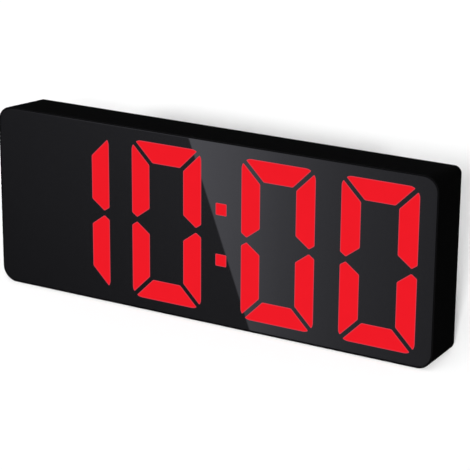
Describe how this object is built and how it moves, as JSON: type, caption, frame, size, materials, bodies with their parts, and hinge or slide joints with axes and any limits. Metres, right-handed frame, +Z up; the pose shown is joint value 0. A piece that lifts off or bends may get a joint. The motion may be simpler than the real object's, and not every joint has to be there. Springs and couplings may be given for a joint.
{
  "type": "digital led desk clock",
  "caption": "Slim black digital LED desk clock: smoked flat front with large red seven-segment time, buttons, power socket, keyholes and battery door at the rear.",
  "frame": {"origin": "on the table below the middle of the case, at the level of the feet's undersides", "axes": "+X to the viewer's right along the case's width, +Z up, the panel faces -Y"},
  "size_m": [0.165, 0.021, 0.0635],
  "materials": {
    "panel": "smoked acrylic, polished",
    "tape": "black foam tape",
    "film": "frosted film",
    "reflector": "white moulded",
    "lit_segment": "lit from behind",
    "dark_segment": "unlit, milky",
    "led": "resin",
    "circuit_board": "green solder mask",
    "screw": "blackened steel",
    "component": "moulded black",
    "contact": "nickel plated",
    "capacitor": "bare can",
    "crystal": "plated can",
    "socket_steel": "nickel plated",
    "connector": "natural nylon",
    "housing": "fine textured black",
    "door": "fine textured black",
    "foot": "matt black",
    "button": "satin black",
    "switch_body": "moulded",
    "plunger": "moulded",
    "cell": "plain sleeve",
    "red_lead": "soft insulation",
    "black_lead": "soft insulation"
  },
  "bodies": {
    "clock": {"alarm_switch": "switch_body", "battery_cell_1": "cell", "battery_cell_2": "cell", "battery_cell_3": "cell", "battery_connector": "connector", "buzzer": "component", "case_screws": "screw", "clock_crystal": "crystal", "colon_dots": "lit_segment", "contact_spring_1": "contact", "contact_spring_2": "contact", "contact_spring_3": "contact", "control_board": "circuit_board", "control_board_screws": "screw", "controller_chip": "component", "diffuser_film": "film", "display_board": "circuit_board", "display_board_screws": "screw", "display_resistors": "component", "down_switch": "switch_body", "driver_chip": "component", "filter_capacitor": "capacitor", "front_panel": "panel", "hour_tens_dark_segments": "dark_segment", "hour_tens_lit_segments": "lit_segment", "hour_units_dark_segments": "dark_segment", "hour_units_lit_segments": "lit_segment", "left_link_contact": "contact", "link_header": "component", "link_pins": "contact", "minute_tens_dark_segments": "dark_segment", "minute_tens_lit_segments": "lit_segment", "minute_units_dark_segments": "dark_segment", "minute_units_lit_segments": "lit_segment", "negative_lead": "black_lead", "negative_terminal": "contact", "panel_tape": "tape", "positive_lead": "red_lead", "positive_terminal": "contact", "rear_housing": "housing", "reflector_block": "reflector", "right_link_contact": "contact", "rubber_feet": "foot", "segment_leds": "led", "set_switch": "switch_body", "socket_shell": "socket_steel", "socket_tongue": "component", "up_switch": "switch_body"},
    "alarm_key": {"alarm_button": "button", "alarm_plunger": "plunger"},
    "down_key": {"down_button": "button", "down_plunger": "plunger"},
    "up_key": {"up_button": "button", "up_plunger": "plunger"},
    "set_key": {"set_button": "button", "set_plunger": "plunger"},
    "door": {"battery_door": "door"}
  },
  "joints": [
    {"name": "alarm_press", "type": "slide", "parent": "clock", "child": "alarm_key", "axis": [0, -1, 0], "range_m": [0, 0.0003], "stiffness_N_per_m": 1500, "springref_m": -0.0004},
    {"name": "down_press", "type": "slide", "parent": "clock", "child": "down_key", "axis": [0, -1, 0], "range_m": [0, 0.0003], "stiffness_N_per_m": 1500, "springref_m": -0.0004},
    {"name": "up_press", "type": "slide", "parent": "clock", "child": "up_key", "axis": [0, -1, 0], "range_m": [0, 0.0003], "stiffness_N_per_m": 1500, "springref_m": -0.0004},
    {"name": "set_press", "type": "slide", "parent": "clock", "child": "set_key", "axis": [0, -1, 0], "range_m": [0, 0.0003], "stiffness_N_per_m": 1500, "springref_m": -0.0004},
    {"name": "door_hinge", "type": "hinge", "parent": "clock", "child": "door", "pos_m": [-0.0305, 0.00978, 0.00568], "axis": [-1, 0, 0], "range_deg": [0, 95]}
  ]
}
